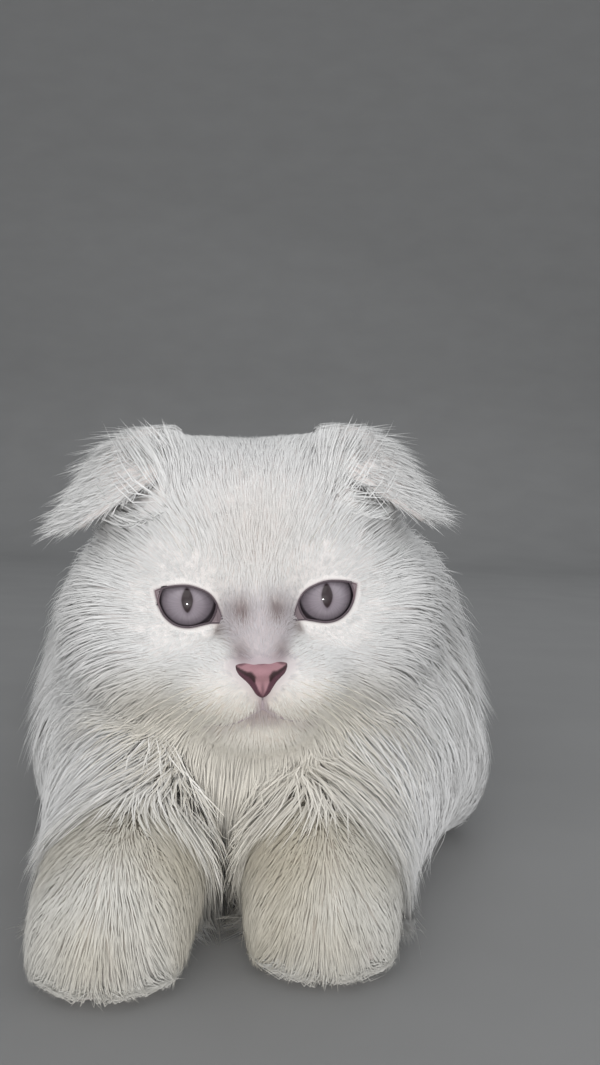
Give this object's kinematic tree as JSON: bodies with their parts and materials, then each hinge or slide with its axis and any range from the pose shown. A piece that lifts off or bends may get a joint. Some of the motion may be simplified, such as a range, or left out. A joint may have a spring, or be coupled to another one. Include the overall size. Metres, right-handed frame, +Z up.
{
  "type": "scottish fold cat",
  "caption": "Life-size still model of a white longhaired fold-eared cat, lying on its belly with its forepaws out in front and its tail curled round one side.",
  "frame": {"origin": "middle of the model's outline on the floor, at floor level", "axes": "+Z up, -Y the way the cat faces, +X its own left side"},
  "size_m": [0.2536, 0.444, 0.1744],
  "materials": {
    "coat": "soft white coat, matt",
    "eye": "wet and clear over a grey-lilac iris",
    "nose": "fine-grained pink skin, slightly damp"
  },
  "bodies": {
    "root": {"head": "coat", "neck_ruff": "coat", "torso": "coat", "foreleg_left": "coat", "foreleg_right": "coat", "forepaw_left": "coat", "forepaw_right": "coat", "hind_leg_left": "coat", "hind_leg_right": "coat", "hind_paw_left": "coat", "hind_paw_right": "coat", "tail_base": "coat", "tail_middle": "coat", "tail_end": "coat", "ear_left": "coat", "ear_right": "coat", "eye_left": "eye", "eye_right": "eye", "nose": "nose"}
  },
  "joints": []
}
